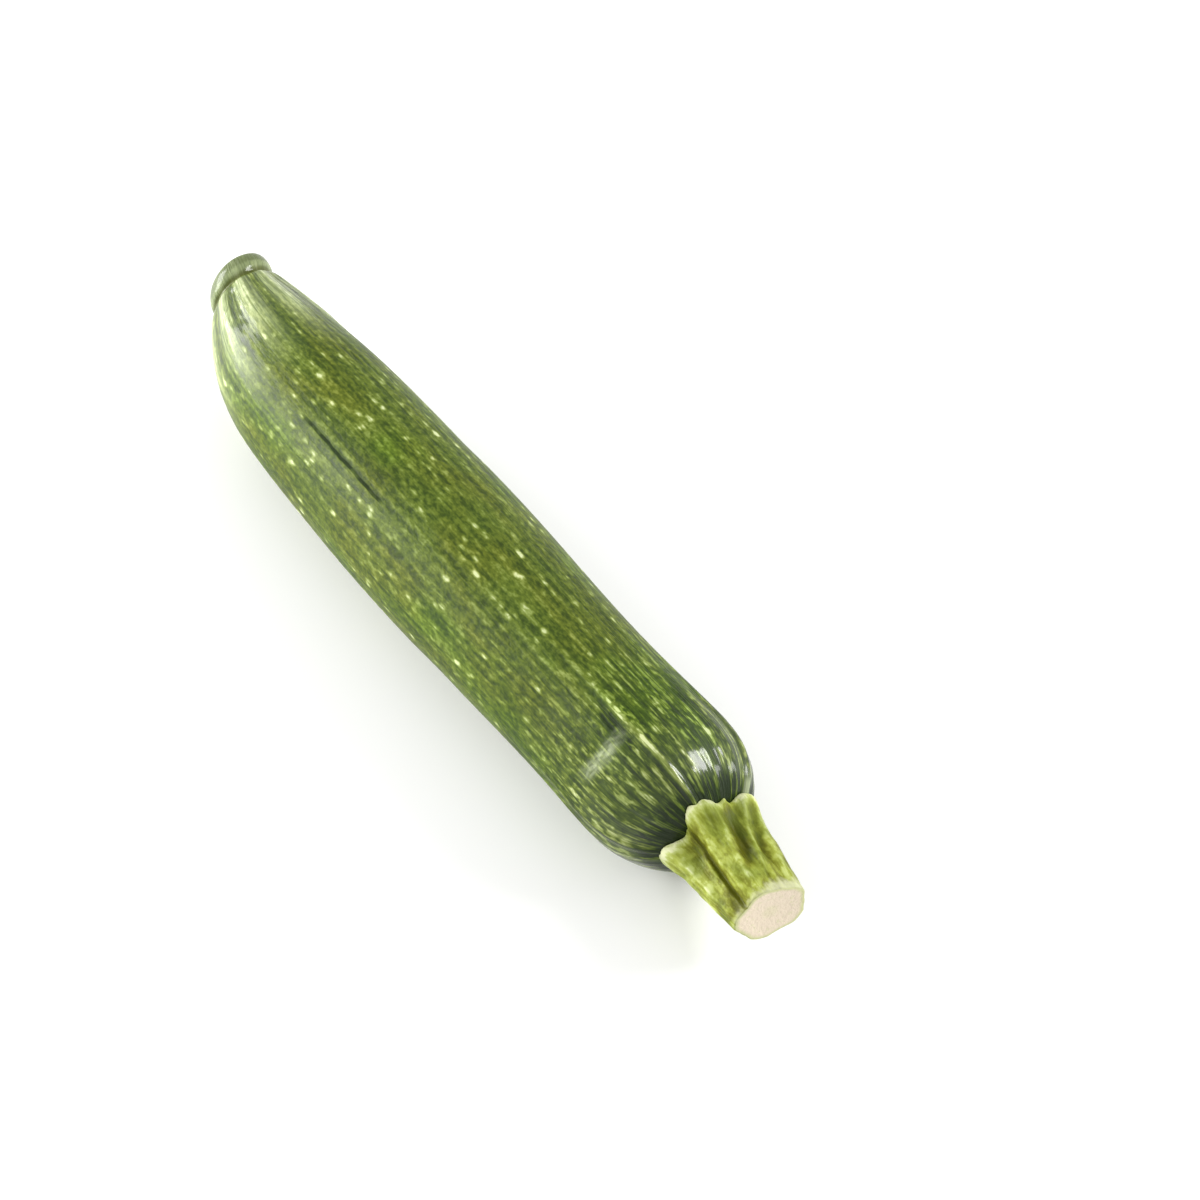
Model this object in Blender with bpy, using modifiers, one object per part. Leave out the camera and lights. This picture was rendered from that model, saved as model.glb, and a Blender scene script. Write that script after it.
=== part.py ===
"""A zucchini as picked, lying on its side, with the cut stub of its stem.

Two solids. The fruit is one grown body: a long cylinder with a rounded shoulder at the stem end
and a tapered, slightly hooked blossom end, which finishes in a creased ring round the scar. The
stem is a stub with five ribs, whose blunt toes spread over the shoulder a hairline off the skin.

Both are turned as upright blanks round +Z, given their ribs and bends by formula, then laid along
+X on the table, which is z = 0. Metres, +Z up. The origin is the middle of the footprint.
"""

import math

import bmesh
import bpy
from mathutils import Matrix, Vector

# The fruit, upright: heights are measured from the rim of the blossom end.
FRUIT_LENGTH = 0.1985  # up to the top of the shoulder
SHOULDER_DEPTH = 0.0205  # the shoulder is a rounded cap of this height
SHOULDER_POWER = 2.3  # 2 is an ellipse, more is squarer
SHOULDER_STEPS = 11
SHOULDER_TILT = (math.radians(5), math.radians(6))  # it faces a little up, and towards -Y
NECK_HEIGHT = FRUIT_LENGTH - SHOULDER_DEPTH
NECK_RADIUS = 0.0200
FRUIT_SIDE = (  # radius and height
    (NECK_RADIUS, NECK_HEIGHT),
    (0.0195, 0.157),  # a slight waist below the shoulder
    (0.0210, 0.099),  # the belly
    (0.0202, 0.065),
    (0.0190, 0.039),
    (0.0169, 0.025),
    (0.0143, 0.017),
    (0.0114, 0.0101),
    (0.0100, 0.0070),
)
BLOSSOM_END = (
    (0.0090, 0.0056),  # the crease
    (0.0093, 0.0043),  # the ring outside it
    (0.0088, 0.0014),
    (0.0076, 0.0000),  # the rim
    (0.0062, 0.0003),  # the edge of the scar, which is a shallow dish
    (0.0044, 0.0008),
    (0.0000, 0.0010),
)
HOOK_OFFSET = (0.0043, 0.0060)  # how far the blossom end bends up, and towards +Y
HOOK_REACH = 0.037  # over this length
BOW_OFFSET = 0.0007  # gentle bow of the whole fruit, towards -Y
FRUIT_SIDES = 60
FRUIT_STEP = 0.0046  # spacing of the fruit's rings, where its side runs straight
BLOSSOM_STEP = 0.0012

# Five soft edges run up the fruit in line with the stem's ribs.
RIB_COUNT = 5
RIB_SPACING = 2 * math.pi / RIB_COUNT
EDGE_HEIGHT = 0.0005  # at the shoulder, crest to mean
EDGE_FADE = 0.060  # they have faded this far below the shoulder
EDGE_LEAST = 0.25  # to this share, along the rest of the fruit

# The stem, upright: heights are measured from the top of the shoulder.
STEM_LENGTH = 0.0232  # to the middle of the cut face
STEM_SPARE = 0.0040  # what the knife takes off the blank
STEM_SIDE = (  # radius over the crests of the ribs, and height
    (0.0091, STEM_LENGTH + STEM_SPARE),
    (0.0091, STEM_LENGTH),
    (0.0106, STEM_LENGTH / 2),
    (0.0113, 0.0036),
    (0.0121, 0.0006),
    (0.0124, -0.0007),  # the tips of the toes
    (0.0118, -0.0018),
    (0.0104, -0.0022),
    (0.0076, -0.0040),  # inside the fruit, until the foot is cut to its skin
)
FULL_GROOVE_RADIUS = 0.0091  # nearer the middle than this, the ribs even out
GROOVE_AT_TOES = 0.0036  # depth of the grooves between the ribs
GROOVE_AT_TOP = 0.0011
GROOVE_POWER = 1.4  # more gives broader ribs and narrower grooves
SECOND_RIBS = (0.15, 0.30, 0.10, 0.40, 0.60)  # a lesser rib in each groove, as a share of its depth
SECOND_RIB_WIDTH = math.radians(9)
TOE_REACHES = (0.0024, 0.0012, 0.0005, 0.0009, 0.0014)  # how far each toe runs down the shoulder
TOE_SPREAD = 0.5  # they spread outwards by this share of it
TOE_ROOT = 0.0050  # the ribs turn outwards into their toes below this height
STEM_TILT = (math.radians(5.5), math.radians(7))  # up, and towards -Y
CUT_TILT = (math.radians(1), math.radians(7))  # the knife's slant, besides the stem's own tilt
STEM_SIDES = 80
STEM_STEP = 0.0016
SEAM_GAP = 0.0003  # between the stem and the skin

# How it lies.
RIB_TURN = math.radians(14)  # the first rib's angle from straight up, towards -Y
PITCH = math.radians(0.55)  # the belly is thicker than the neck, so the stem end lies lower
FLAT_DEPTH = 0.0005  # the skin is this much flattened where it rests

SKIN_COLOUR = (0.14, 0.19, 0.045, 1)
STEM_COLOUR = (0.42, 0.49, 0.13, 1)


def clear_scene():
    for obj in list(bpy.data.objects):
        bpy.data.objects.remove(obj, do_unlink=True)


def new_material(name, colour, roughness):
    material = bpy.data.materials.new(name)
    material.use_nodes = True
    shader = material.node_tree.nodes["Principled BSDF"]
    shader.inputs["Base Color"].default_value = colour
    shader.inputs["Roughness"].default_value = roughness
    shader.inputs["Metallic"].default_value = 0.0
    return material


def smooth_step(value):
    value = min(max(value, 0.0), 1.0)
    return value * value * (3 - 2 * value)


def smooth_through(points, step):
    """Points along a smooth curve through the given (radius, height) points, about a step apart."""
    vectors = [Vector(point) for point in points]
    padded = [2 * vectors[0] - vectors[1], *vectors, 2 * vectors[-1] - vectors[-2]]
    curve = [vectors[0]]
    for before, start, end, after in zip(padded, padded[1:], padded[2:], padded[3:]):
        count = max(1, round((end - start).length / step))
        for i in range(1, count + 1):
            t = i / count
            curve.append(
                0.5
                * (
                    2 * start
                    + (end - before) * t
                    + (2 * before - 5 * start + 4 * end - after) * t**2
                    + (3 * start - before - 3 * end + after) * t**3
                )
            )
    return [tuple(point) for point in curve]


def turned(name, outline, sides, collection):
    """A closed blank, from an outline of (radius, height) points from its top down to its base."""
    mesh = bpy.data.meshes.new(name)
    edges = [(i, i + 1) for i in range(len(outline) - 1)]
    mesh.from_pydata([(r, 0.0, z) for r, z in outline], edges, [])
    blank = bpy.data.objects.new(name + "_outline", mesh)
    collection.objects.link(blank)
    screw = blank.modifiers.new("turn", "SCREW")
    screw.steps = screw.render_steps = sides
    screw.use_merge_vertices = True
    screw.merge_threshold = 0.00005
    screw.use_smooth_shade = True
    bpy.context.view_layer.update()
    evaluated = blank.evaluated_get(bpy.context.evaluated_depsgraph_get())
    solid = bpy.data.objects.new(name, bpy.data.meshes.new_from_object(evaluated))
    collection.objects.link(solid)
    bpy.data.objects.remove(blank)
    return solid


def reshape(obj, move):
    """Moves each vertex to move(angle, radius, height)."""
    for vertex in obj.data.vertices:
        x, y, z = vertex.co
        vertex.co = move(math.atan2(y, x), math.hypot(x, y), z)


def fruit_outline():
    """From the top of the shoulder down the side to the middle of the blossom scar."""
    shoulder = []
    for i in range(SHOULDER_STEPS):
        angle = math.pi / 2 * i / SHOULDER_STEPS
        across = math.sin(angle) ** (2 / SHOULDER_POWER)
        up = math.cos(angle) ** (2 / SHOULDER_POWER)
        shoulder.append((NECK_RADIUS * across, NECK_HEIGHT + SHOULDER_DEPTH * up))
    side = smooth_through(FRUIT_SIDE, FRUIT_STEP)
    end = smooth_through(BLOSSOM_END, BLOSSOM_STEP)
    return shoulder + side + end


def edge_wave(angle):
    """1 on each of the five soft edges and -1 between them."""
    return math.cos(RIB_COUNT * (angle - RIB_TURN))


def fruit_place(angle, radius, height):
    below_shoulder = NECK_HEIGHT - height
    strength = EDGE_LEAST + (1 - EDGE_LEAST) * (1 - smooth_step(below_shoulder / EDGE_FADE))
    strength *= smooth_step(radius / NECK_RADIUS)
    radius += EDGE_HEIGHT * strength * edge_wave(angle)
    x, y = radius * math.cos(angle), radius * math.sin(angle)
    tilt = smooth_step(1 - below_shoulder / SHOULDER_DEPTH)
    height -= tilt * (x * math.tan(SHOULDER_TILT[0]) + y * math.tan(SHOULDER_TILT[1]))
    return Vector((x, y, height)) + centre_line(height)


def centre_line(height):
    """Sideways place of the fruit's middle: straight, with a slight bow and the hooked end."""
    hook = max(0.0, 1 - height / HOOK_REACH) ** 2
    bow = BOW_OFFSET * math.sin(math.pi * height / FRUIT_LENGTH)
    return Vector((HOOK_OFFSET[0] * hook, bow - HOOK_OFFSET[1] * hook, 0.0))


def stem_outline():
    """The blank over the crests of the ribs, from above the cut face down to its root."""
    side = smooth_through(STEM_SIDE, STEM_STEP)
    return [(0.0, side[0][1])] + side + [(0.0, side[-1][1])]


def groove_shape(angle):
    """0 on a rib's crest and 1 in the bottom of a groove, less the lesser rib that stands in it."""
    turn = (angle - RIB_TURN) / RIB_SPACING
    valley = (0.5 - 0.5 * math.cos(2 * math.pi * turn)) ** GROOVE_POWER
    off_middle = (turn % 1.0 - 0.5) * RIB_SPACING
    lesser = SECOND_RIBS[math.floor(turn) % RIB_COUNT]
    return valley - lesser * math.exp(-((off_middle / SECOND_RIB_WIDTH) ** 2))


def stem_place(angle, radius, height):
    groove = groove_shape(angle)
    up = smooth_step(height / STEM_LENGTH)
    depth = GROOVE_AT_TOES + (GROOVE_AT_TOP - GROOVE_AT_TOES) * up
    outside = min(1.0, radius / FULL_GROOVE_RADIUS)
    nearest_rib = round((angle - RIB_TURN) / RIB_SPACING) % RIB_COUNT
    toe = TOE_REACHES[nearest_rib] * max(0.0, 1 - groove) * smooth_step(1 - height / TOE_ROOT)
    toe *= outside
    radius += TOE_SPREAD * toe - depth * groove * outside
    return Vector((radius * math.cos(angle), radius * math.sin(angle), height - toe))


def tilted(tilt):
    """A turn of +Z towards the side that will look up, and towards the side that will look to -Y."""
    return Matrix.Rotation(tilt[0], 3, "Y") @ Matrix.Rotation(-tilt[1], 3, "X")


def cut_end(obj):
    """The slanting knife cut through the top of the stem."""
    slice_off(obj, Vector((0.0, 0.0, STEM_LENGTH)), tilted(CUT_TILT) @ Vector((0.0, 0.0, 1.0)))


def slice_off(obj, point, normal):
    """Removes what lies on the normal's side of a plane and closes the cut with one flat face."""
    mesh = bmesh.new()
    mesh.from_mesh(obj.data)
    everything = mesh.verts[:] + mesh.edges[:] + mesh.faces[:]
    made = bmesh.ops.bisect_plane(
        mesh, geom=everything, dist=1e-7, plane_co=point, plane_no=normal, clear_outer=True
    )
    rim = [item for item in made["geom_cut"] if isinstance(item, bmesh.types.BMEdge)]
    bmesh.ops.edgeloop_fill(mesh, edges=rim)
    bmesh.ops.recalc_face_normals(mesh, faces=mesh.faces[:])
    mesh.to_mesh(obj.data)
    mesh.free()


def seat_stem(stem, fruit, helpers):
    """Cuts the stem's foot to the skin of the shoulder, a hairline above it."""
    cutter = bpy.data.objects.new("skin_offset", fruit.data.copy())
    helpers.objects.link(cutter)
    cutter.hide_render = True
    cutter.display_type = "WIRE"
    grow = cutter.modifiers.new("gap", "DISPLACE")
    grow.strength = SEAM_GAP
    grow.mid_level = 0.0
    cut = stem.modifiers.new("seat", "BOOLEAN")
    cut.operation = "DIFFERENCE"
    cut.object = cutter


def lay_down(objects):
    """Turns the upright shapes so that the stem points along +X and their +X side looks up."""
    laid = Matrix.Rotation(math.pi / 2 + PITCH, 4, "Y") @ Matrix.Rotation(math.pi, 4, "Z")
    for obj in objects:
        obj.data.transform(laid)


def move_all(objects, offset):
    for obj in objects:
        obj.data.transform(Matrix.Translation(offset))


def lowest_and_highest(objects):
    points = [vertex.co for obj in objects for vertex in obj.data.vertices]
    low = Vector(min(point[axis] for point in points) for axis in range(3))
    high = Vector(max(point[axis] for point in points) for axis in range(3))
    return low, high


def finish(obj, material):
    obj.data.materials.clear()
    obj.data.materials.append(material)
    obj.data.shade_smooth()
    obj.data.set_sharp_from_angle(angle=math.radians(50))


def build():
    clear_scene()
    parts = bpy.data.collections.new("zucchini")
    helpers = bpy.data.collections.new("cutters")
    bpy.context.scene.collection.children.link(parts)
    bpy.context.scene.collection.children.link(helpers)

    fruit = turned("fruit", fruit_outline(), FRUIT_SIDES, parts)
    reshape(fruit, fruit_place)
    stem = turned("stem", stem_outline(), STEM_SIDES, parts)
    reshape(stem, stem_place)
    cut_end(stem)
    stem.data.transform(tilted(STEM_TILT).to_4x4())
    move_all([stem], Vector((0.0, 0.0, FRUIT_LENGTH)))

    lay_down([fruit, stem])
    low, _ = lowest_and_highest([fruit])
    move_all([fruit, stem], Vector((0.0, 0.0, -low.z - FLAT_DEPTH)))
    slice_off(fruit, Vector((0.0, 0.0, 0.0)), Vector((0.0, 0.0, -1.0)))
    low, high = lowest_and_highest([fruit, stem])
    move_all([fruit, stem], Vector((-(low.x + high.x) / 2, -(low.y + high.y) / 2, 0.0)))
    seat_stem(stem, fruit, helpers)

    finish(fruit, new_material("skin", SKIN_COLOUR, 0.35))
    finish(stem, new_material("stem", STEM_COLOUR, 0.55))


build()
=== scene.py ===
# Looks of the zucchini: the speckled, waxy skin and the ribbed, cut stem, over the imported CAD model.
# Both pieces are raised upright round +Z, as in the CAD, then bent, laid along +X and given relief.

import math

import bpy
from mathutils import Matrix, Vector, noise
from mathutils.bvhtree import BVHTree


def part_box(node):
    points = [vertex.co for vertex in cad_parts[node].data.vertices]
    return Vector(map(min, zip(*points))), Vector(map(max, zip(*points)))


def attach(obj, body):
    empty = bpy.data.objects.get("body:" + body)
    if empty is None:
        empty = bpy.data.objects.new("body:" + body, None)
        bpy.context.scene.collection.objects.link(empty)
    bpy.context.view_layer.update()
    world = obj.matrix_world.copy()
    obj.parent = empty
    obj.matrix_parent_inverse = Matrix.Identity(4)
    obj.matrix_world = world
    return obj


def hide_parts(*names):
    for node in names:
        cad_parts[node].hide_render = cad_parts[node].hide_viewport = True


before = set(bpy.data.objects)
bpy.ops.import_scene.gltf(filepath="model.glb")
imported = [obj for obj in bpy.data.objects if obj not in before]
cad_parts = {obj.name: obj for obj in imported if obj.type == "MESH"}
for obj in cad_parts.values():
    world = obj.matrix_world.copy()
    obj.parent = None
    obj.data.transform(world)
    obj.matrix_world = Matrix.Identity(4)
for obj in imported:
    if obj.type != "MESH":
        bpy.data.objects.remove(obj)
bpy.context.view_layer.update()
print("frame loaded:", ", ".join(sorted(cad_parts)))

camera = {
    "place": (0.37645, -0.25680, 0.66609),
    "lookDown": 55.0,  # degrees below level
    "turn": 52.206,  # degrees from looking along +Y
    "lens": 100.315,
    "sensor": 36.0,
}


def addCamera():
    bpy.ops.object.camera_add(
        location=camera["place"],
        rotation=(math.radians(90 - camera["lookDown"]), 0.0, math.radians(camera["turn"])),
    )
    shot = bpy.context.active_object
    shot.name = "camera"
    shot.data.sensor_width = camera["sensor"]
    shot.data.lens = camera["lens"]
    bpy.context.scene.camera = shot


addCamera()
print("camera placed")


def smoothStep(value):
    value = min(max(value, 0.0), 1.0)
    return value * value * (3 - 2 * value)


def rising(value, start, reach):
    # 0 at start and 1 at start + reach, eased; a reach below zero falls instead
    return smoothStep((value - start) / reach)


def atLeast(least, share):
    # from least, where the share is 0, to 1
    return least + (1 - least) * share


def bell(distance, width):
    return math.exp(-((distance / width) ** 2))


def angleBetween(angle, other):
    # signed, in radians, the short way round
    return (angle - other + math.pi) % (2 * math.pi) - math.pi


def noiseOver(angle, height, kind):
    # noise round the upright body: how strong, its grain round and upwards, and a shift
    strength, around, along, shift = kind
    c, s = math.cos(angle), math.sin(angle)
    return strength * noise.noise(Vector((around * c, around * s, height * along + shift)))


def extrudeUp(stations, sides):
    # a closed body from a filled circle, extruded and resized through (radius, height) stations
    bpy.ops.object.select_all(action="DESELECT")
    radius, height = stations[0]
    bpy.ops.mesh.primitive_circle_add(
        vertices=sides, radius=radius, fill_type="TRIFAN", location=(0.0, 0.0, height)
    )
    piece = bpy.context.active_object
    bpy.ops.object.transform_apply(location=True, rotation=False, scale=False)
    bpy.ops.object.mode_set(mode="EDIT")
    bpy.ops.mesh.select_mode(type="EDGE")
    bpy.ops.mesh.select_all(action="DESELECT")
    bpy.ops.mesh.select_non_manifold()
    for nextRadius, nextHeight in stations[1:]:
        bpy.ops.mesh.extrude_region_move(
            TRANSFORM_OT_translate={"value": (0.0, 0.0, nextHeight - height)}
        )
        share = nextRadius / radius
        bpy.ops.transform.resize(value=(share, share, 1.0), center_override=(0.0, 0.0, nextHeight))
        radius, height = nextRadius, nextHeight
    bpy.ops.mesh.merge(type="CENTER")  # the last ring closes in a pole
    bpy.ops.mesh.select_all(action="SELECT")
    bpy.ops.mesh.normals_make_consistent(inside=False)
    bpy.ops.object.mode_set(mode="OBJECT")
    return piece


def subdivide(piece, levels):
    bpy.ops.object.select_all(action="DESELECT")
    piece.select_set(True)
    bpy.context.view_layer.objects.active = piece
    smoother = piece.modifiers.new("smoother", "SUBSURF")
    smoother.levels = smoother.render_levels = levels
    bpy.ops.object.modifier_apply(modifier=smoother.name)
    bpy.ops.object.shade_smooth()


def keepOnPoints(piece, name, kind, values):
    # an attribute for the materials: FLOAT takes numbers and FLOAT_VECTOR takes vectors
    layer = piece.data.attributes.new(name, kind, "POINT")
    if kind == "FLOAT":
        layer.data.foreach_set("value", values)
    else:
        layer.data.foreach_set("vector", [part for vector in values for part in vector])


def tilted(tilt):
    # a turn of +Z towards the side that will look up, and towards the side that will look to -Y
    up, aside = (math.radians(turn) for turn in tilt)
    return Matrix.Rotation(up, 3, "Y") @ Matrix.Rotation(-aside, 3, "X")


fruit = {  # lengths in metres, turns in degrees, and (radius, height) for each ring of its outline
    "length": 0.1985,
    "shoulderDepth": 0.0205,
    "shoulderPower": 2.3,
    "shoulderSteps": 7,
    "lastStep": 0.35,  # from the last ring to the pole
    "shoulderTilt": (5.0, 6.0),
    "neckHeight": 0.1780,
    "neckRadius": 0.0200,
    "scar": ((0.0012, 0.0010), (0.0032, 0.0009), (0.0050, 0.0007), (0.0062, 0.0003), (0.0071, 0.0000)),
    "ring": ((0.0080, 0.0001), (0.0088, 0.0013), (0.0093, 0.0030), (0.0093, 0.0044)),
    "crease": ((0.0087, 0.0053), (0.0087, 0.0059), (0.0097, 0.0065)),
    "taper": ((0.0104, 0.0078), (0.0114, 0.0101), (0.0128, 0.0132), (0.0144, 0.0173), (0.0158, 0.0215)),
    "side": (
        (0.0170, 0.0255), (0.0180, 0.0315), (0.0190, 0.0390), (0.0197, 0.0480), (0.0201, 0.0570),
        (0.0204, 0.0680), (0.0208, 0.0800), (0.0210, 0.0930), (0.0209, 0.1070), (0.0204, 0.1220),
        (0.0199, 0.1370), (0.0196, 0.1510), (0.0196, 0.1650), (0.0200, 0.1760),
    ),
    "sides": 40,
    "levels": 3,
    "hookOffset": (0.0043, 0.0060),
    "hookReach": 0.037,
    "bow": 0.0007,
    "edgeHeight": 0.0005,
    "edgeFade": 0.060,
    "edgeLeast": 0.25,
    "flatDepth": 0.0005,
    "pitch": 0.55,
}
ribs = {"count": 5, "first": math.radians(14)}  # the fruit's soft edges run on from the stem's ribs
ribs["spacing"] = 2 * math.pi / ribs["count"]

relief = {  # metres outwards, where nothing else is said
    # noise: how high, its grain round and upwards, and a shift
    "lumps": (0.00018, 1.6, 26, 0),
    "furrows": (0.00013, 11, 20, 7),
    "dimples": (0.00004, 17, 420, 0),
    "furrowsMidway": 0.2,  # their share away from the ends
    # where the relief of each end starts, and over how much of the height it grows
    "stemEnd": (0.140, 0.045),
    "blossomEnd": (0.045, -0.036),
    "aboveRing": (0.0048, 0.0050),
    "fromPole": (0.002, 0.005),  # by radius: none round the poles
    "flutes": 0.00034,
    "fluteCount": 10,  # they run into the crease at the blossom end
    "fluteTurn": math.radians(8),
    "ridges": 0.00050,  # thin ridges that run down from the stem's ribs
    "ridgeTurn": math.radians(-2.5),
    "ridgeWidth": math.radians(3.0),
    "hollows": 0.00040,  # beside them, on the side of -Y
    "hollowTurn": math.radians(8),
    "hollowWidth": math.radians(5),
    "dents": (  # degrees from the top towards -Y, height, radius, depth
        (40.0, 0.1735, 0.0040, 0.00030),
        (44.0, 0.1536, 0.0050, 0.00020),
        (-75.0, 0.0800, 0.0060, 0.00025),
        (120.0, 0.1200, 0.0070, 0.00025),
    ),
}


def shoulderStations():
    stations = []
    steps = fruit["shoulderSteps"]
    for i in range(1, steps + 1):
        angle = math.pi / 2 * (1 - i / (steps + fruit["lastStep"]))
        across = math.sin(angle) ** (2 / fruit["shoulderPower"])
        up = math.cos(angle) ** (2 / fruit["shoulderPower"])
        height = fruit["neckHeight"] + fruit["shoulderDepth"] * up
        stations.append((fruit["neckRadius"] * across, height))
    return tuple(stations)


def centreLine(height):
    hook = max(0.0, 1 - height / fruit["hookReach"]) ** 2
    bow = fruit["bow"] * math.sin(math.pi * height / fruit["length"])
    return Vector((fruit["hookOffset"][0] * hook, bow - fruit["hookOffset"][1] * hook, 0.0))


def fruitPlace(angle, radius, height):
    belowShoulder = fruit["neckHeight"] - height
    strength = 1 - (1 - fruit["edgeLeast"]) * smoothStep(belowShoulder / fruit["edgeFade"])
    strength *= smoothStep(radius / fruit["neckRadius"])
    radius += fruit["edgeHeight"] * strength * math.cos(ribs["count"] * (angle - ribs["first"]))
    x, y = radius * math.cos(angle), radius * math.sin(angle)
    tilt = smoothStep(1 - belowShoulder / fruit["shoulderDepth"])
    up, aside = (math.tan(math.radians(turn)) for turn in fruit["shoulderTilt"])
    height -= tilt * (x * up + y * aside)
    return Vector((x, y, height)) + centreLine(height)


def layDown():
    over = Matrix.Rotation(math.pi / 2 + math.radians(fruit["pitch"]), 4, "Y")
    return over @ Matrix.Rotation(math.pi, 4, "Z")


def skinRelief(angle, radius, height):
    # metres outwards
    nearStem = rising(height, *relief["stemEnd"])
    nearBlossom = rising(height, *relief["blossomEnd"])
    lumps, furrows, dimples = (
        noiseOver(angle, height, relief[kind]) for kind in ("lumps", "furrows", "dimples")
    )
    out = lumps + dimples
    out += furrows * atLeast(relief["furrowsMidway"], max(nearStem, nearBlossom))
    fluteAngle = relief["fluteCount"] * (angle - relief["fluteTurn"])
    out += relief["flutes"] * nearBlossom * math.cos(fluteAngle)
    fromFirst = angle - ribs["first"]
    fromRidge = fromFirst - ribs["spacing"] * round(fromFirst / ribs["spacing"]) - relief["ridgeTurn"]
    out += relief["ridges"] * nearStem * bell(fromRidge, relief["ridgeWidth"])
    fromHollow = fromRidge - relief["hollowTurn"]
    out -= relief["hollows"] * nearStem * bell(fromHollow, relief["hollowWidth"])
    for turn, place, width, depth in relief["dents"]:
        aside = fruit["neckRadius"] * angleBetween(angle, math.radians(turn))
        out -= depth * bell(math.hypot(aside, height - place), width)
    return out * rising(height, *relief["aboveRing"]) * rising(radius, *relief["fromPole"])


def buildFruit():
    stations = fruit["scar"] + fruit["ring"] + fruit["crease"] + fruit["taper"] + fruit["side"]
    piece = extrudeUp(stations + shoulderStations(), fruit["sides"])
    piece.name = piece.data.name = "fruitSkin"
    subdivide(piece, fruit["levels"])
    raised = []  # angle, radius and height of each point while upright
    for vertex in piece.data.vertices:
        x, y, z = vertex.co
        raised.append((math.atan2(y, x), math.hypot(x, y), z))
    laid = layDown()
    for vertex, (angle, radius, height) in zip(piece.data.vertices, raised):
        vertex.co = laid @ fruitPlace(angle, radius, height)
    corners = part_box("fruit")
    low = Vector(min(vertex.co[axis] for vertex in piece.data.vertices) for axis in range(3))
    high = Vector(max(vertex.co[axis] for vertex in piece.data.vertices) for axis in range(3))
    offset = (corners[0] + corners[1] - low - high) / 2
    offset.z = -low.z - fruit["flatDepth"]
    piece.data.transform(Matrix.Translation(offset))
    piece.data.update()
    normals = [vertex.normal.copy() for vertex in piece.data.vertices]
    for vertex, normal, (angle, radius, height) in zip(piece.data.vertices, normals, raised):
        vertex.co += normal * skinRelief(angle, radius, height)
        vertex.co.z = max(vertex.co.z, 0.0)  # the flat spots that it lies on
    piece.data.update()
    even = fruit["neckRadius"]
    keepOnPoints(
        piece, "skin", "FLOAT_VECTOR",
        [(even * math.cos(angle), even * math.sin(angle), height) for angle, radius, height in raised],
    )
    keepOnPoints(piece, "girth", "FLOAT", [radius for angle, radius, height in raised])
    return piece, Matrix.Translation(offset) @ laid


fruitSkin, uprightToTable = buildFruit()
print("fruit modelled:", len(fruitSkin.data.polygons), "faces")

stem = {  # lengths in metres, and (radius, height) for each ring of its outline
    "length": 0.0232,
    "underside": ((0.0025, -0.0040), (0.0052, -0.0040), (0.0078, -0.0036), (0.0102, -0.0024)),
    "toes": ((0.0116, -0.0019), (0.0123, -0.0012), (0.0124, -0.0002), (0.0121, 0.0009)),
    "side": (
        (0.0115, 0.0034), (0.0112, 0.0060), (0.0108, 0.0092), (0.0104, 0.0130),
        (0.0098, 0.0168), (0.0093, 0.0202), (0.0091, 0.0224),
    ),
    "rim": ((0.0090, 0.0230), (0.0087, 0.0232)),
    "cutFace": ((0.0076, 0.0231), (0.0058, 0.0229), (0.0036, 0.0227), (0.0014, 0.0226)),
    "sides": 48,
    "levels": 3,
    "fullGroove": 0.0091,
    "grooveAtToes": 0.0036,
    "grooveAtTop": 0.0011,
    "groovePower": 1.4,
    "secondRibs": (0.15, 0.30, 0.10, 0.40, 0.60),
    "secondRibWidth": math.radians(9),
    "toeReaches": (0.0024, 0.0018, 0.0005, 0.0009, 0.0014),
    "toeSpread": 0.5,
    "toeRoot": 0.0050,
    "tilt": (5.5, 7.0),
    "cutTilt": (1.0, 7.0),
    "seamGap": 0.0002,  # between the toes and the skin
    "seamTop": 0.008,  # the gap is kept up to this height
    "seamSearch": 0.03,  # from how far outside the skin is looked for
    "faceDrop": 0.0005,  # the cut face takes in the rim down to this depth
    "faceSlack": 0.00005,
    "grooveShade": 0.7,  # for the materials: how dark the grooves are, partly their own darker green and partly painted shade, and the detail, for each metre that it goes in: painted shade where it goes in and painted highlight where it stands out
    "carvedShade": 1050,  # and the detail, for each metre that it goes in
    # noise: how strong, its grain round and upwards, and a shift
    "wander": (math.radians(2.5), 2, 160, 0),
    "striation": (0.00010, 15, 60, 0),
    "roughness": (0.00022, 5, 330, 0),
    "toeZone": (-0.001, 0.004),  # where the detail starts at the toes, and over how much it grows
    "underToes": 0.35,  # the share of the crests' channel below that
    "linesUnderToes": 0.45,
    "cutFade": 0.004,  # the detail fades towards the cut
    "atCut": 0.35,
    "crestChannel": 0.00028,  # the crest is hollow between two thin edges
    "channelWidth": math.radians(8),
    "crestEdge": math.radians(13),
    "edgeHeight": 0.00022,
    "edgeWidth": math.radians(3),
    "slit": 0.00055,  # a groove outside one edge of each rib
    "slitTurn": math.radians(20),
    "slitWidth": math.radians(2.4),
    "slitFade": 0.016,
    "lineFade": 0.005,
    # edges and grooves on the side that looks up: degrees at the toes, degrees further up, the
    # height of that, half their width in degrees, metres outwards, and the height where they end
    "lines": (
        (20, 31, 0.006, 3.0, 0.00038, 0.024),
        (-4, 13, 0.015, 3.0, 0.00038, 0.022),
        (37, 45, 0.007, 3.4, -0.00095, 0.026),
        (-27, 1, 0.015, 9.0, -0.00120, 0.0175),
        (-44, -10, 0.018, 3.5, 0.00032, 0.021),
        (-53, -33, 0.013, 4.5, -0.00060, 0.017),
        (50, 56, 0.006, 6.0, -0.00045, 0.009),
        (8, 15, 0.008, 2.2, -0.00022, 0.008),
        (8, 22, 0.012, 7.0, -0.00018, 0.024),
    ),
    "linesFrom": (math.radians(-5), math.radians(56), math.radians(14)),  # middle, reach and blend
}


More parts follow.
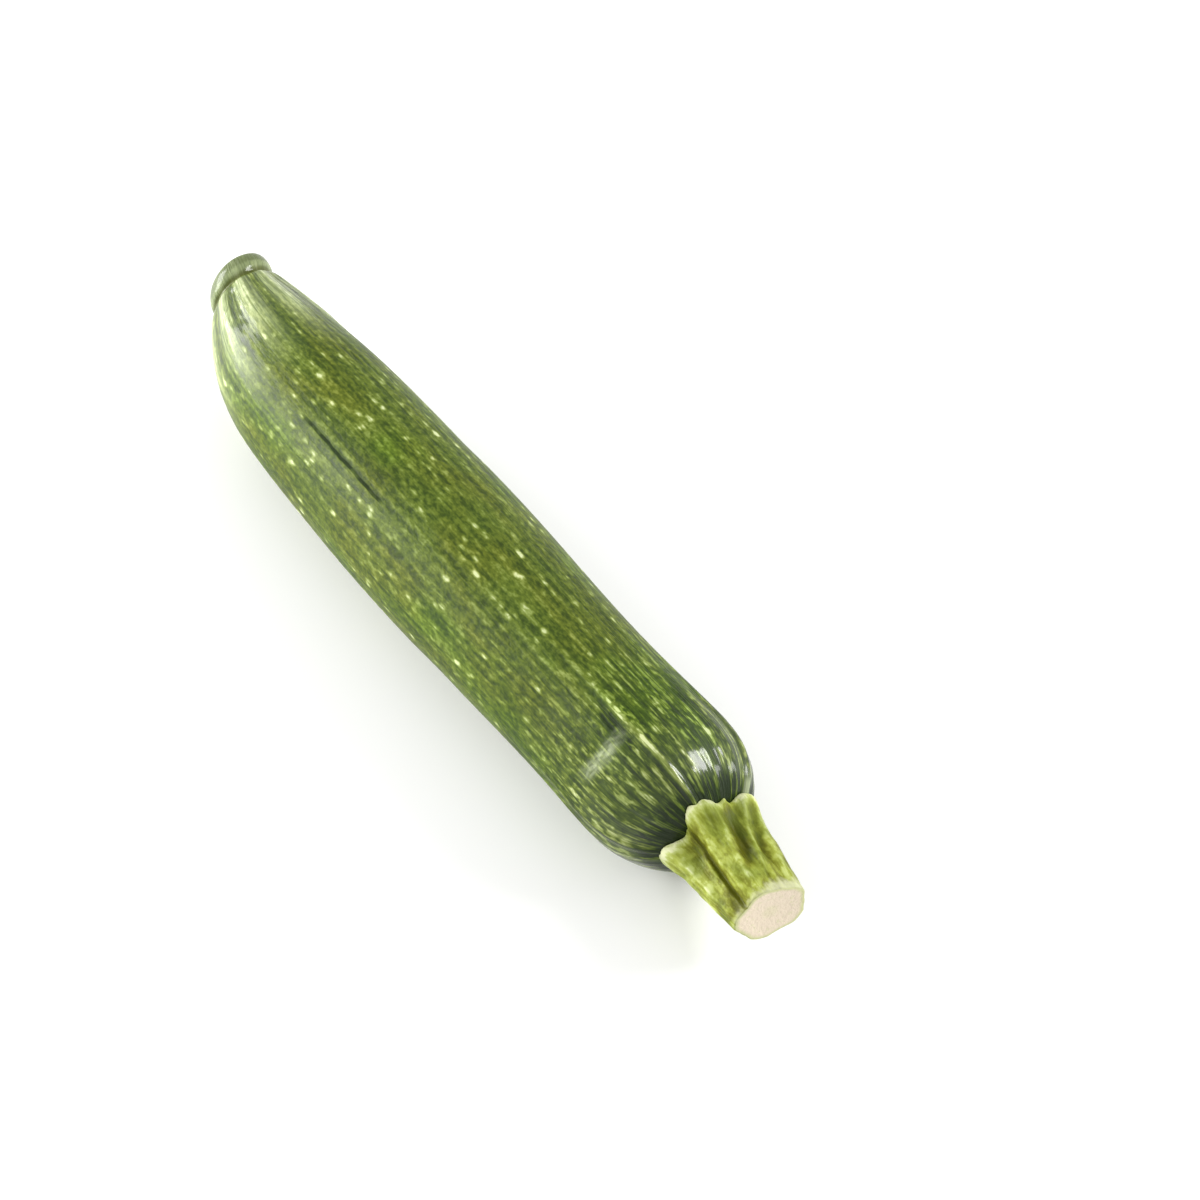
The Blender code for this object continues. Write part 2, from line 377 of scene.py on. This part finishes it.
def grooveShape(angle):
    turn = (angle - ribs["first"]) / ribs["spacing"]
    valley = (0.5 - 0.5 * math.cos(2 * math.pi * turn)) ** stem["groovePower"]
    offMiddle = (turn % 1.0 - 0.5) * ribs["spacing"]
    lesser = stem["secondRibs"][math.floor(turn) % ribs["count"]]
    return valley - lesser * bell(offMiddle, stem["secondRibWidth"])


def stemDetail(angle, fromCrest, height):
    # metres outwards: edges, grooves and fibres on the ribs
    fromToe = rising(height, *stem["toeZone"])
    wander = noiseOver(angle, height, stem["wander"])
    fromCrest += wander
    ribbed = -stem["crestChannel"] * bell(fromCrest, stem["channelWidth"])
    ribbed *= atLeast(stem["underToes"], fromToe)
    for side in (-1, 1):
        ribbed += stem["edgeHeight"] * bell(fromCrest - side * stem["crestEdge"], stem["edgeWidth"])
    slit = bell(fromCrest - stem["slitTurn"], stem["slitWidth"])
    ribbed -= stem["slit"] * slit * fromToe * rising(height, stem["length"], -stem["slitFade"])
    lined = 0.0
    for atToe, above, reached, width, rise, ends in stem["lines"]:
        turn = math.radians(atToe + (above - atToe) * min(max(height / reached, 0.0), 1.0))
        fade = rising(height, ends, -stem["lineFade"]) * atLeast(stem["linesUnderToes"], fromToe)
        lined += rise * bell(angleBetween(angle + wander, turn), math.radians(width)) * fade
    middle, reach, blend = stem["linesFrom"]
    share = rising(abs(angleBetween(angle, middle)), reach, blend)
    out = lined * (1 - share) + ribbed * share
    out += noiseOver(angle, height, stem["striation"])
    out += noiseOver(angle, height, stem["roughness"])
    return out * atLeast(stem["atCut"], rising(height, stem["length"], -stem["cutFade"]))


def stemPlace(angle, radius, height):
    groove = grooveShape(angle)
    up = smoothStep(height / stem["length"])
    depth = stem["grooveAtToes"] + (stem["grooveAtTop"] - stem["grooveAtToes"]) * up
    outside = min(1.0, radius / stem["fullGroove"])
    turn = (angle - ribs["first"]) / ribs["spacing"]
    toe = stem["toeReaches"][round(turn) % ribs["count"]]
    toe *= max(0.0, 1 - groove) * smoothStep(1 - height / stem["toeRoot"]) * outside
    radius += stem["toeSpread"] * toe - depth * groove * outside
    radius += stemDetail(angle, (turn - round(turn)) * ribs["spacing"], height) * outside ** 3
    x, y = radius * math.cos(angle), radius * math.sin(angle)
    knife = tilted(stem["cutTilt"]) @ Vector((0.0, 0.0, 1.0))
    slant = -(x * knife.x + y * knife.y) / knife.z  # the slanting cut
    return Vector((x, y, height - toe + slant * up))


def buildStem():
    stations = stem["underside"] + stem["toes"] + stem["side"] + stem["rim"] + stem["cutFace"]
    piece = extrudeUp(stations, stem["sides"])
    piece.name = piece.data.name = "stemStub"
    subdivide(piece, stem["levels"])
    skin = BVHTree.FromPolygons(
        [vertex.co for vertex in fruitSkin.data.vertices],
        [polygon.vertices for polygon in fruitSkin.data.polygons],
    )
    upright = Matrix.Translation((0.0, 0.0, fruit["length"])) @ tilted(stem["tilt"]).to_4x4()
    laid = uprightToTable @ upright
    outwards = (uprightToTable.to_3x3() @ Vector((0.0, 0.0, 1.0))).normalized()
    grain, marks = [], []
    faceEdge = stem["rim"][-1][0]
    faceFrom = stem["rim"][0][1] - stem["faceDrop"]
    for vertex in piece.data.vertices:
        x, y, z = vertex.co
        angle, radius = math.atan2(y, x), math.hypot(x, y)
        onFace = z > faceFrom and radius < faceEdge + stem["faceSlack"]
        even = min(radius, stem["fullGroove"])
        grain.append((even * math.cos(angle), even * math.sin(angle), z))
        turn = (angle - ribs["first"]) / ribs["spacing"]
        carved = stemDetail(angle, (turn - round(turn)) * ribs["spacing"], z)
        depth = stem["grooveShade"] * grooveShape(angle) - stem["carvedShade"] * carved
        marks.append((depth, 1.0 if onFace else 0.0, radius / faceEdge))
        place = laid @ stemPlace(angle, radius, z)
        if z < stem["seamTop"]:
            hit = skin.ray_cast(place + outwards * stem["seamSearch"], -outwards)[0]
            if hit is not None and (place - hit).dot(outwards) < stem["seamGap"]:
                place = hit + outwards * stem["seamGap"]
        vertex.co = place
    piece.data.update()
    keepOnPoints(piece, "grain", "FLOAT_VECTOR", grain)
    keepOnPoints(piece, "marks", "FLOAT_VECTOR", marks)
    return piece


stemStub = buildStem()
print("stem modelled:", len(stemStub.data.polygons), "faces")


class Wire:
    # a socket that takes part in sums
    def __init__(self, finish, socket):
        self.finish = finish
        self.socket = socket

    def maths(self, operation, *values):
        return self.finish.node("Math", {"operation": operation}, dict(enumerate(values or (self,))))

    def __add__(self, other):
        return self.maths("ADD", self, other)

    def __radd__(self, other):
        return self.maths("ADD", other, self)

    def __sub__(self, other):
        return self.maths("SUBTRACT", self, other)

    def __rsub__(self, other):
        return self.maths("SUBTRACT", other, self)

    def __mul__(self, other):
        return self.maths("MULTIPLY", self, other)

    def __rmul__(self, other):
        return self.maths("MULTIPLY", other, self)

    def __truediv__(self, other):
        return self.maths("DIVIDE", self, other)

    def __pow__(self, other):
        return self.maths("POWER", self, other)

    def __abs__(self):
        return self.maths("ABSOLUTE", self)

    def between(self, low, high):
        # 0 at low and 1 at high, eased
        values = {"Value": self, "From Min": low, "From Max": high}
        return self.finish.node("MapRange", {"interpolation_type": "SMOOTHSTEP"}, values)

    def betweenTurns(self, low, high):
        # the same for an angle, with both ends in degrees
        return self.between(math.radians(low), math.radians(high))

    def most(self, other):
        return self.maths("MAXIMUM", self, other)


class Finish:
    # a material with its nodes
    def __init__(self, name):
        self.material = bpy.data.materials.new(name)
        self.material.use_nodes = True
        self.nodes = self.material.node_tree.nodes
        self.links = self.material.node_tree.links
        self.shader = self.nodes["Principled BSDF"].inputs

    def node(self, kind, settings, values, output=0):
        made = self.nodes.new("ShaderNode" + kind)
        for name, value in settings.items():
            if name == "stops":
                self.setStops(made.color_ramp, value)
            else:
                setattr(made, name, value)
        for key, value in values.items():
            self.feed(made.inputs[key], value)
        return Wire(self, made.outputs[output])

    def setStops(self, ramp, stops):
        ramp.elements.remove(ramp.elements[1])
        ramp.elements[0].position, ramp.elements[0].color = stops[0]
        for place, colour in stops[1:]:
            ramp.elements.new(place).color = colour

    def feed(self, socket, value):
        if isinstance(value, Wire):
            self.links.new(value.socket, socket)
        else:
            socket.default_value = value

    def mix(self, share, first, second):
        # colours
        values = {0: share, 6: first, 7: second}
        return self.node("Mix", {"data_type": "RGBA"}, values, 2)

    def tint(self, share, colour, shade):
        # the colour, multiplied by the shade as far as share says
        values = {0: share, 6: colour, 7: shade}
        return self.node("Mix", {"data_type": "RGBA", "blend_type": "MULTIPLY"}, values, 2)

    def turn(self, vector):
        # the angle round the fruit, in radians
        y = self.node("SeparateXYZ", {}, {"Vector": vector}, 1)
        return y.maths("ARCTAN2", y, self.node("SeparateXYZ", {}, {"Vector": vector}, 0))

    def stretch(self, vector, across, along):
        # a vector in cells that are so many metres across and along
        size = (1 / across, 1 / across, 1 / along)
        return self.node("VectorMath", {"operation": "MULTIPLY"}, {0: vector, 1: size})

    def cells(self, vector, across, along):
        # distance from the nearest cell's middle, and a random number for that cell
        spread = {"Vector": self.stretch(vector, across, along), "Scale": 1.0, "Randomness": 1.0}
        near = self.node("TexVoronoi", {}, spread)
        shade = Wire(self, near.socket.node.outputs["Color"])
        return near, self.node("SeparateXYZ", {}, {"Vector": shade})

    def clouds(self, vector, across, along, detail=2.0, roughness=0.5):
        values = {
            "Vector": self.stretch(vector, across, along),
            "Scale": 1.0, "Detail": detail, "Roughness": roughness,
        }
        return self.node("TexNoise", {}, values)

    def grains(self, vector, kinds):
        # several clouds by name, each with the values that count as 0 and 1
        made = {}
        for name, (across, along, detail, roughness, low, high) in kinds.items():
            made[name] = self.clouds(vector, across, along, detail, roughness).between(low, high)
        return made

    def bump(self, height, distance, strength):
        values = {"Height": height, "Distance": distance, "Strength": strength}
        return self.node("Bump", {}, values)

    def paint(self, piece):
        piece.data.materials.clear()
        piece.data.materials.append(self.material)


skinLook = {
    # heights that count as 0 and as 1
    "zones": {
        "stem": (0.125, 0.185),
        "blossom": (0.045, 0.008),
        "ridge": (0.146, 0.168),
        "hollow": (0.163, 0.169),
        "hollowEnd": (0.182, 0.175),
        "underStem": (0.184, 0.195),
        "shoulder": (0.170, 0.188),
        "lip": (0.0053, 0.0044),
        "ring": (0.0050, 0.0040),
        "ringFoot": (0.0040, 0.0026),
        "scar": (0.003, 0.002),
    },
    # metres across and along, detail, roughness, and the values that count as 0 and 1
    "grains": {
        "mottle": (0.010, 0.022, 3.0, 0.5, 0.38, 0.66),
        "patches": (0.013, 0.030, 2.0, 0.5, 0.50, 0.66),
        "soft": (0.0016, 0.0028, 2.0, 0.5, 0.30, 0.70),
        "fine": (0.0008, 0.0014, 2.0, 0.6, 0.30, 0.70),
        "rows": (0.0014, 0.034, 2.0, 0.5, 0.36, 0.64),
        "lines": (0.0010, 0.0180, 2.0, 0.6, 0.36, 0.62),
        "breaks": (0.0011, 0.0028, 2.0, 0.5, 0.38, 0.62),
        "strokes": (0.0024, 0.0012, 2.0, 0.5, 0.36, 0.64),
        "scratchBreaks": (0.004, 0.004, 2.0, 0.5, 0.35, 0.5),
    },
    # metres across and along, a fleck's edge and its full middle, and the chances of none and of one
    "flecks": (0.0022, 0.0040, 0.42, 0.06, 0.05, 0.75),
    "bigFlecks": (0.0034, 0.0062, 0.33, 0.05, 0.34, 0.80),
    "wobble": (0.24, 0.0012, 0.0018),  # of their edges: how much, and metres across and along
    "ridgeLine": (0.0011, 0.0003),  # half widths, in metres, from none to full
    "hollowLine": (0.0020, 0.0006),
    "underStemRadius": (0.0170, 0.0130),
    "tones": (  # from the dark gaps to the brightest flecks
        (0.00, (0.010, 0.022, 0.002, 1)),
        (0.25, (0.041, 0.070, 0.004, 1)),
        (0.50, (0.104, 0.146, 0.014, 1)),
        (0.75, (0.240, 0.300, 0.078, 1)),
        (1.00, (0.560, 0.620, 0.330, 1)),
    ),
    "warm": (1.0, 0.88, 0.55, 1),
    "fresh": (0.84, 1.0, 0.45, 1),
    "pale": (0.440, 0.505, 0.310, 1),
    "rim": (0.110, 0.140, 0.048, 1),
    # painted highlight: the pale colour of the highlight spot and band below
    "paintedHighlight": (0.50, 0.56, 0.34, 1),
    "highlightBand": (0.1747, 12.0, 60.0),  # a painted highlight across the skin: its height, and degrees from and to
    "highlightBandLine": (0.0030, 0.0004),
    "highlightBandSway": (0.003, 0.006),  # how far it wanders, and the grain of that
    "highlightSpot": (0.1946, -59.0),  # a small painted highlight: its height and degrees from the top
    "highlightSpotLine": (0.0026, 0.0006),
    "highlightSpotTurns": (5, 1.5),
    "lip": (0.240, 0.290, 0.130, 1),
    "crease": (0.075, 0.092, 0.007, 1),
    "creaseHeight": 0.0057,
    "creaseLine": (0.0014, 0.0004),
    "scarRadius": 0.0072,
    "scarEdge": (0.0071, 0.0062),
    "scar": (  # from its middle to its edge
        (0.00, (0.200, 0.150, 0.060, 1)),
        (0.22, (0.330, 0.270, 0.105, 1)),
        (0.42, (0.480, 0.450, 0.190, 1)),
        (0.80, (0.430, 0.440, 0.170, 1)),
        (1.00, (0.270, 0.300, 0.100, 1)),
    ),
    "roughness": 0.50,
    "coat": 0.04,
    "coatAtStem": 0.62,  # the shoulder is the shiniest
    "coatAtBlossom": 0.42,  # more than elsewhere
    "coatRoughness": 0.12,
    "specular": 0.18,
    "bump": (0.00014, 0.7),  # metres, and its strength
    "scratch": (31.3, 0.0525, 0.0890),  # degrees from the top, and from where to where
    "scratchLine": (0.00062, 0.00024),
    "scratchFade": 0.004,
    "scratchSway": (0.0018, 0.011),
}


def makeSkin():
    finish = Finish("speckledSkin")
    skin = finish.node("Attribute", {"attribute_name": "skin"}, {}, 1)
    girth = finish.node("Attribute", {"attribute_name": "girth"}, {}, 2)
    height = finish.node("SeparateXYZ", {}, {"Vector": skin}, 2)
    turn = finish.turn(skin)
    zone = {name: height.between(*limits) for name, limits in skinLook["zones"].items()}
    grain = finish.grains(skin, skinLook["grains"])
    soft, fine, rows, lines = (grain[name] for name in ("soft", "fine", "rows", "lines"))
    dashes = lines * grain["breaks"]
    ends = zone["stem"].most(zone["blossom"])
    fluteAngle = relief["fluteCount"] * (turn - relief["fluteTurn"])
    flute = 0.5 + 0.5 * fluteAngle.maths("COSINE")

    sway, across, along = skinLook["wobble"]
    wobble = sway * finish.clouds(skin, across, along, 1.0)

    def scattered(across, along, edge, full, none, sure):
        near, chance = finish.cells(skin, across, along)
        return (near + wobble - sway / 2).between(edge, full) * chance.between(none, sure)

    flecks = scattered(*skinLook["flecks"])
    bigFlecks = scattered(*skinLook["bigFlecks"])

    # the tone, from the dark gaps to the bright flecks
    speckles = 0.17 * soft + 0.16 * fine + 0.20 * rows + 0.50 * flecks * atLeast(0.25, rows)
    tone = 0.12 + speckles * (1 - 0.45 * ends)
    tone = tone + 0.51 * bigFlecks * atLeast(0.45, rows) * (1 - 0.4 * ends)
    tone = tone + zone["stem"] * (0.56 * dashes + 0.08 * lines - 0.12)
    streaks = 0.18 * dashes + 0.24 * lines + 0.14 * soft + 0.30 * flute ** 3 - 0.12 * (1 - flute)
    tone = tone + zone["blossom"] * streaks
    # painted highlight: a pale line along the thin ridge below each stem rib; painted shade: the hollow
    # beside it is made darker
    fromRidge = turn - ribs["first"] - relief["ridgeTurn"]
    ridge = abs(fromRidge) * fruit["neckRadius"]
    tone = tone + zone["ridge"] * 0.34 * ridge.between(*skinLook["ridgeLine"])
    hollow = abs(fromRidge - relief["hollowTurn"]) * fruit["neckRadius"]
    hollow = zone["hollow"] * zone["hollowEnd"] * 0.28 * hollow.between(*skinLook["hollowLine"])
    tone = tone - hollow
    # painted shade: the skin right under the stem's toes is made darker, and its coat thinner
    paintedGapShade = zone["underStem"] * girth.between(*skinLook["underStemRadius"])
    tone = tone - 0.34 * paintedGapShade

    angle, start, end = skinLook["scratch"]
    sway, along = skinLook["scratchSway"]
    fade = skinLook["scratchFade"]
    aside = fruit["neckRadius"] * (turn - math.radians(angle))
    aside = aside + sway * (finish.clouds(skin, 1.0, along, 3.0, 0.6) - 0.5)
    scratch = abs(aside).between(*skinLook["scratchLine"]) * height.between(start, start + fade)
    scratch = scratch * atLeast(0.60, grain["scratchBreaks"])
    scratch = scratch * height.between(end, end - fade)
    tone = tone * (1 - 0.97 * scratch)

    # the colour, warmer and fresher in patches, paler at the blossom end, with a painted highlight spot
    # and band on the shoulder
    colour = finish.node("ValToRGB", {"stops": skinLook["tones"]}, {"Fac": tone})
    plain = 1 - bigFlecks.most(flecks) * 0.8
    warm = grain["mottle"] * (0.8 - 0.5 * ends) * plain
    colour = finish.tint(warm, colour, skinLook["warm"])
    fresh = 0.7 * grain["patches"] * (1 - zone["blossom"]) * plain
    colour = finish.tint(fresh, colour, skinLook["fresh"])
    pale = 0.58 * zone["blossom"] * flute * atLeast(0.4, lines)
    colour = finish.mix(pale, colour, skinLook["pale"])
    # painted highlight: a small pale spot on the shoulder beside the stem
    place, angle = skinLook["highlightSpot"]
    highlightSpot = abs(height - place).between(*skinLook["highlightSpotLine"])
    highlightSpot = highlightSpot * abs(turn - math.radians(angle)).betweenTurns(*skinLook["highlightSpotTurns"])
    colour = finish.mix(0.6 * highlightSpot, colour, skinLook["paintedHighlight"])
    # painted highlight: a pale band across the shoulder, broken into strokes
    place, first, last = skinLook["highlightBand"]
    sway, across = skinLook["highlightBandSway"]
    aside = height - place + sway * (finish.clouds(skin, across, 1.0) - 0.5)
    highlightBand = abs(aside).between(*skinLook["highlightBandLine"])
    highlightBand = highlightBand * turn.betweenTurns(first, first + 12)
    highlightBand = highlightBand * turn.betweenTurns(last + 6, last - 12)
    highlightBand = highlightBand * atLeast(0.35, turn.betweenTurns(22, 38))
    colour = finish.mix(highlightBand * (0.22 + 0.42 * grain["strokes"]), colour, skinLook["paintedHighlight"])

    # the ring, its crease and the scar
    colour = finish.mix((0.50 + 0.40 * lines) * zone["lip"], colour, skinLook["lip"])
    crease = abs(height - skinLook["creaseHeight"]).between(*skinLook["creaseLine"])
    colour = finish.mix(0.85 * crease, colour, skinLook["crease"])
    rim = zone["ringFoot"] + 0.4 * (soft - 0.5)
    colour = finish.mix(rim.between(0.0, 1.2) * zone["ring"], colour, skinLook["rim"])
    outwards = girth / skinLook["scarRadius"] + 0.35 * (fine - 0.5)
    dried = finish.node("ValToRGB", {"stops": skinLook["scar"]}, {"Fac": outwards})
    scar = girth.between(*skinLook["scarEdge"]) * zone["scar"]
    colour = finish.mix(scar, colour, dried)
    finish.feed(finish.shader["Base Color"], colour)

    roughness = skinLook["roughness"] + 0.10 * (fine - 0.5) + 0.3 * scratch
    finish.feed(finish.shader["Roughness"], roughness)
    coat = skinLook["coat"] + (
        zone["shoulder"] * (skinLook["coatAtStem"] - skinLook["coat"])
        + skinLook["coatAtBlossom"] * zone["blossom"]
    )
    finish.feed(finish.shader["Coat Weight"], coat * (1 - 0.75 * paintedGapShade))
    finish.shader["Specular IOR Level"].default_value = skinLook["specular"]
    finish.shader["Coat Roughness"].default_value = skinLook["coatRoughness"]
    raised = flecks * 0.3 + fine * 0.4 + rows * 0.6 + lines * ends * 1.2 - 0.8 * scratch
    finish.feed(finish.shader["Normal"], finish.bump(raised, *skinLook["bump"]))
    return finish


stemLook = {
    # metres across and along, detail, roughness, and the values that count as 0 and 1
    "grains": {
        "lines": (0.0009, 0.0100, 3.0, 0.6, 0.3, 0.7),
        "blotches": (0.0016, 0.0028, 3.0, 0.6, 0.34, 0.66),
        "patches": (0.0050, 0.0070, 2.0, 0.5, 0.42, 0.64),
        "fibres": (0.0012, 0.0040, 3.0, 0.6, 0.5, 0.8),
    },
    # heights that count as 0 and as 1
    "toes": (0.0024, -0.0008),
    "greenFrom": (0.0150, 0.0185),
    "greenTo": (0.0232, 0.0215),
    "greenRight": (0.006, 0.012),
    "peel": (0.0216, 0.0250),
    "ragged": (0.0065, 0.0022, 0.0030),  # the peel's edge: how far, and its grain
    "vessels": (0.0012, 0.0100),
    "tones": (  # from the bottoms of the grooves to the edges of the ribs
        (0.00, (0.088, 0.094, 0.002, 1)),
        (0.25, (0.160, 0.172, 0.008, 1)),
        (0.55, (0.310, 0.355, 0.048, 1)),
        (0.80, (0.500, 0.560, 0.180, 1)),
        (1.00, (0.740, 0.760, 0.440, 1)),
    ),
    "low": (0.085, 0.140, 0.012, 1),
    "peeled": (0.640, 0.640, 0.420, 1),
    "cut": (0.75, 0.645, 0.50, 1),
    "cutRim": (0.55, 0.57, 0.28, 1),
    "roughness": 0.48,
    "specular": 0.2,
    "bump": (0.00012, 0.7),  # metres, and its strength
}


def makeStem():
    finish = Finish("ribbedStem")
    grain = finish.node("Attribute", {"attribute_name": "grain"}, {}, 1)
    marks = finish.node("Attribute", {"attribute_name": "marks"}, {}, 1)
    height = finish.node("SeparateXYZ", {}, {"Vector": grain}, 2)
    groove = finish.node("SeparateXYZ", {}, {"Vector": marks}, 0)
    onCut = finish.node("SeparateXYZ", {}, {"Vector": marks}, 1)
    fromMiddle = finish.node("SeparateXYZ", {}, {"Vector": marks}, 2)

    drawn = finish.grains(grain, stemLook["grains"])
    lines, blotches = drawn["lines"], drawn["blotches"]
    toes = height.between(*stemLook["toes"])
    # darker in the grooves, partly their own darker green and partly painted shade, with painted shade
    # in the carved detail and painted highlight on its raised edges
    tone = 0.51 - 0.56 * groove + 0.16 * (lines - 0.5) + 0.34 * (blotches - 0.5) + 0.42 * toes
    around = finish.turn(grain)
    left = around.betweenTurns(44, 52)
    right = around.betweenTurns(-18, -30)
    green = left * height.between(*stemLook["greenFrom"]) * height.between(*stemLook["greenTo"])
    farRight = around.betweenTurns(-46, -60) * height.between(*stemLook["greenRight"])
    # painted light: the left rib, which lies in shade, and a band on the right are made lighter; the
    # upper left and the far right side are made darker
    tone = tone + 0.16 * left + 0.10 * right - 0.30 * green.most(farRight)
    side = finish.node("ValToRGB", {"stops": stemLook["tones"]}, {"Fac": tone})
    side = finish.mix(drawn["patches"] * 0.35, side, stemLook["low"])
    sway, across, along = stemLook["ragged"]
    ragged = finish.clouds(grain, across, along, 3.0, 0.6) - 0.5
    peel = height + sway * ragged + 0.0022 * around.betweenTurns(30, -10)
    side = finish.mix(0.66 * peel.between(*stemLook["peel"]), side, stemLook["peeled"])

    face = finish.mix(fromMiddle.between(0.84, 1.0), stemLook["cut"], stemLook["cutRim"])
    face = finish.mix(drawn["fibres"] * 0.25, face, stemLook["cutRim"])
    vessels = finish.cells(grain, *stemLook["vessels"])[0].between(0.42, 0.22)
    vessels = vessels * fromMiddle.between(0.50, 0.62) * fromMiddle.between(0.84, 0.74)
    face = finish.mix(0.30 * vessels, face, stemLook["cutRim"])
    face = finish.mix(0.22 * fromMiddle.between(0.34, 0.12), face, stemLook["cutRim"])
    finish.feed(finish.shader["Base Color"], finish.mix(onCut, side, face))
    finish.feed(finish.shader["Roughness"], stemLook["roughness"] + 0.25 * onCut)
    finish.shader["Specular IOR Level"].default_value = stemLook["specular"]
    finish.feed(finish.shader["Normal"], finish.bump(lines + blotches, *stemLook["bump"]))
    return finish


makeSkin().paint(fruitSkin)
makeStem().paint(stemStub)
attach(fruitSkin, "root")
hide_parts("fruit")
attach(stemStub, "root")
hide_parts("stem")
print("materials painted")

studio = {
    "floor": (0.94, 0.94, 0.94, 1),
    "floorSize": 8.0,
    "floorRoughness": 0.6,
    "skyColour": (1.0, 1.0, 1.0, 1.0),
    "sky": 0.74,
    # from, towards, width and height, watts
    "lamps": {
        "back": ((0.48, 0.88, 0.77), (0.06, 0.0, 0.02), (0.58, 0.27), 10.6),
        "low": ((0.64, 1.04, 0.27), (0.08, 0.0, 0.02), (0.15, 0.34), 1.7),
        "window": ((-0.98, -0.66, 0.34), (-0.05, 0.0, 0.02), (0.90, 0.66), 26.0),
    },
}


def addStudio():
    bpy.ops.object.select_all(action="DESELECT")
    bpy.ops.mesh.primitive_plane_add(size=studio["floorSize"], location=(0.0, 0.0, 0.0))
    floor = bpy.context.active_object
    floor.name = "floor"
    paper = Finish("whiteTable")
    paper.shader["Base Color"].default_value = studio["floor"]
    paper.shader["Roughness"].default_value = studio["floorRoughness"]
    paper.paint(floor)
    for name, (place, target, (width, tall), watts) in studio["lamps"].items():
        bpy.ops.object.light_add(type="AREA", location=place)
        lamp = bpy.context.active_object
        lamp.name = name
        lamp.data.shape = "RECTANGLE"
        lamp.data.size = width
        lamp.data.size_y = tall
        lamp.data.energy = watts
        towards = Vector(target) - Vector(place)
        lamp.rotation_euler = towards.to_track_quat("-Z", "Y").to_euler()
    world = bpy.data.worlds.new("studio")
    world.use_nodes = True
    sky = world.node_tree.nodes["Background"].inputs
    sky["Color"].default_value = studio["skyColour"]
    sky["Strength"].default_value = studio["sky"]
    bpy.context.scene.world = world
    bpy.context.scene.view_settings.view_transform = "Standard"


addStudio()
print("studio lit")
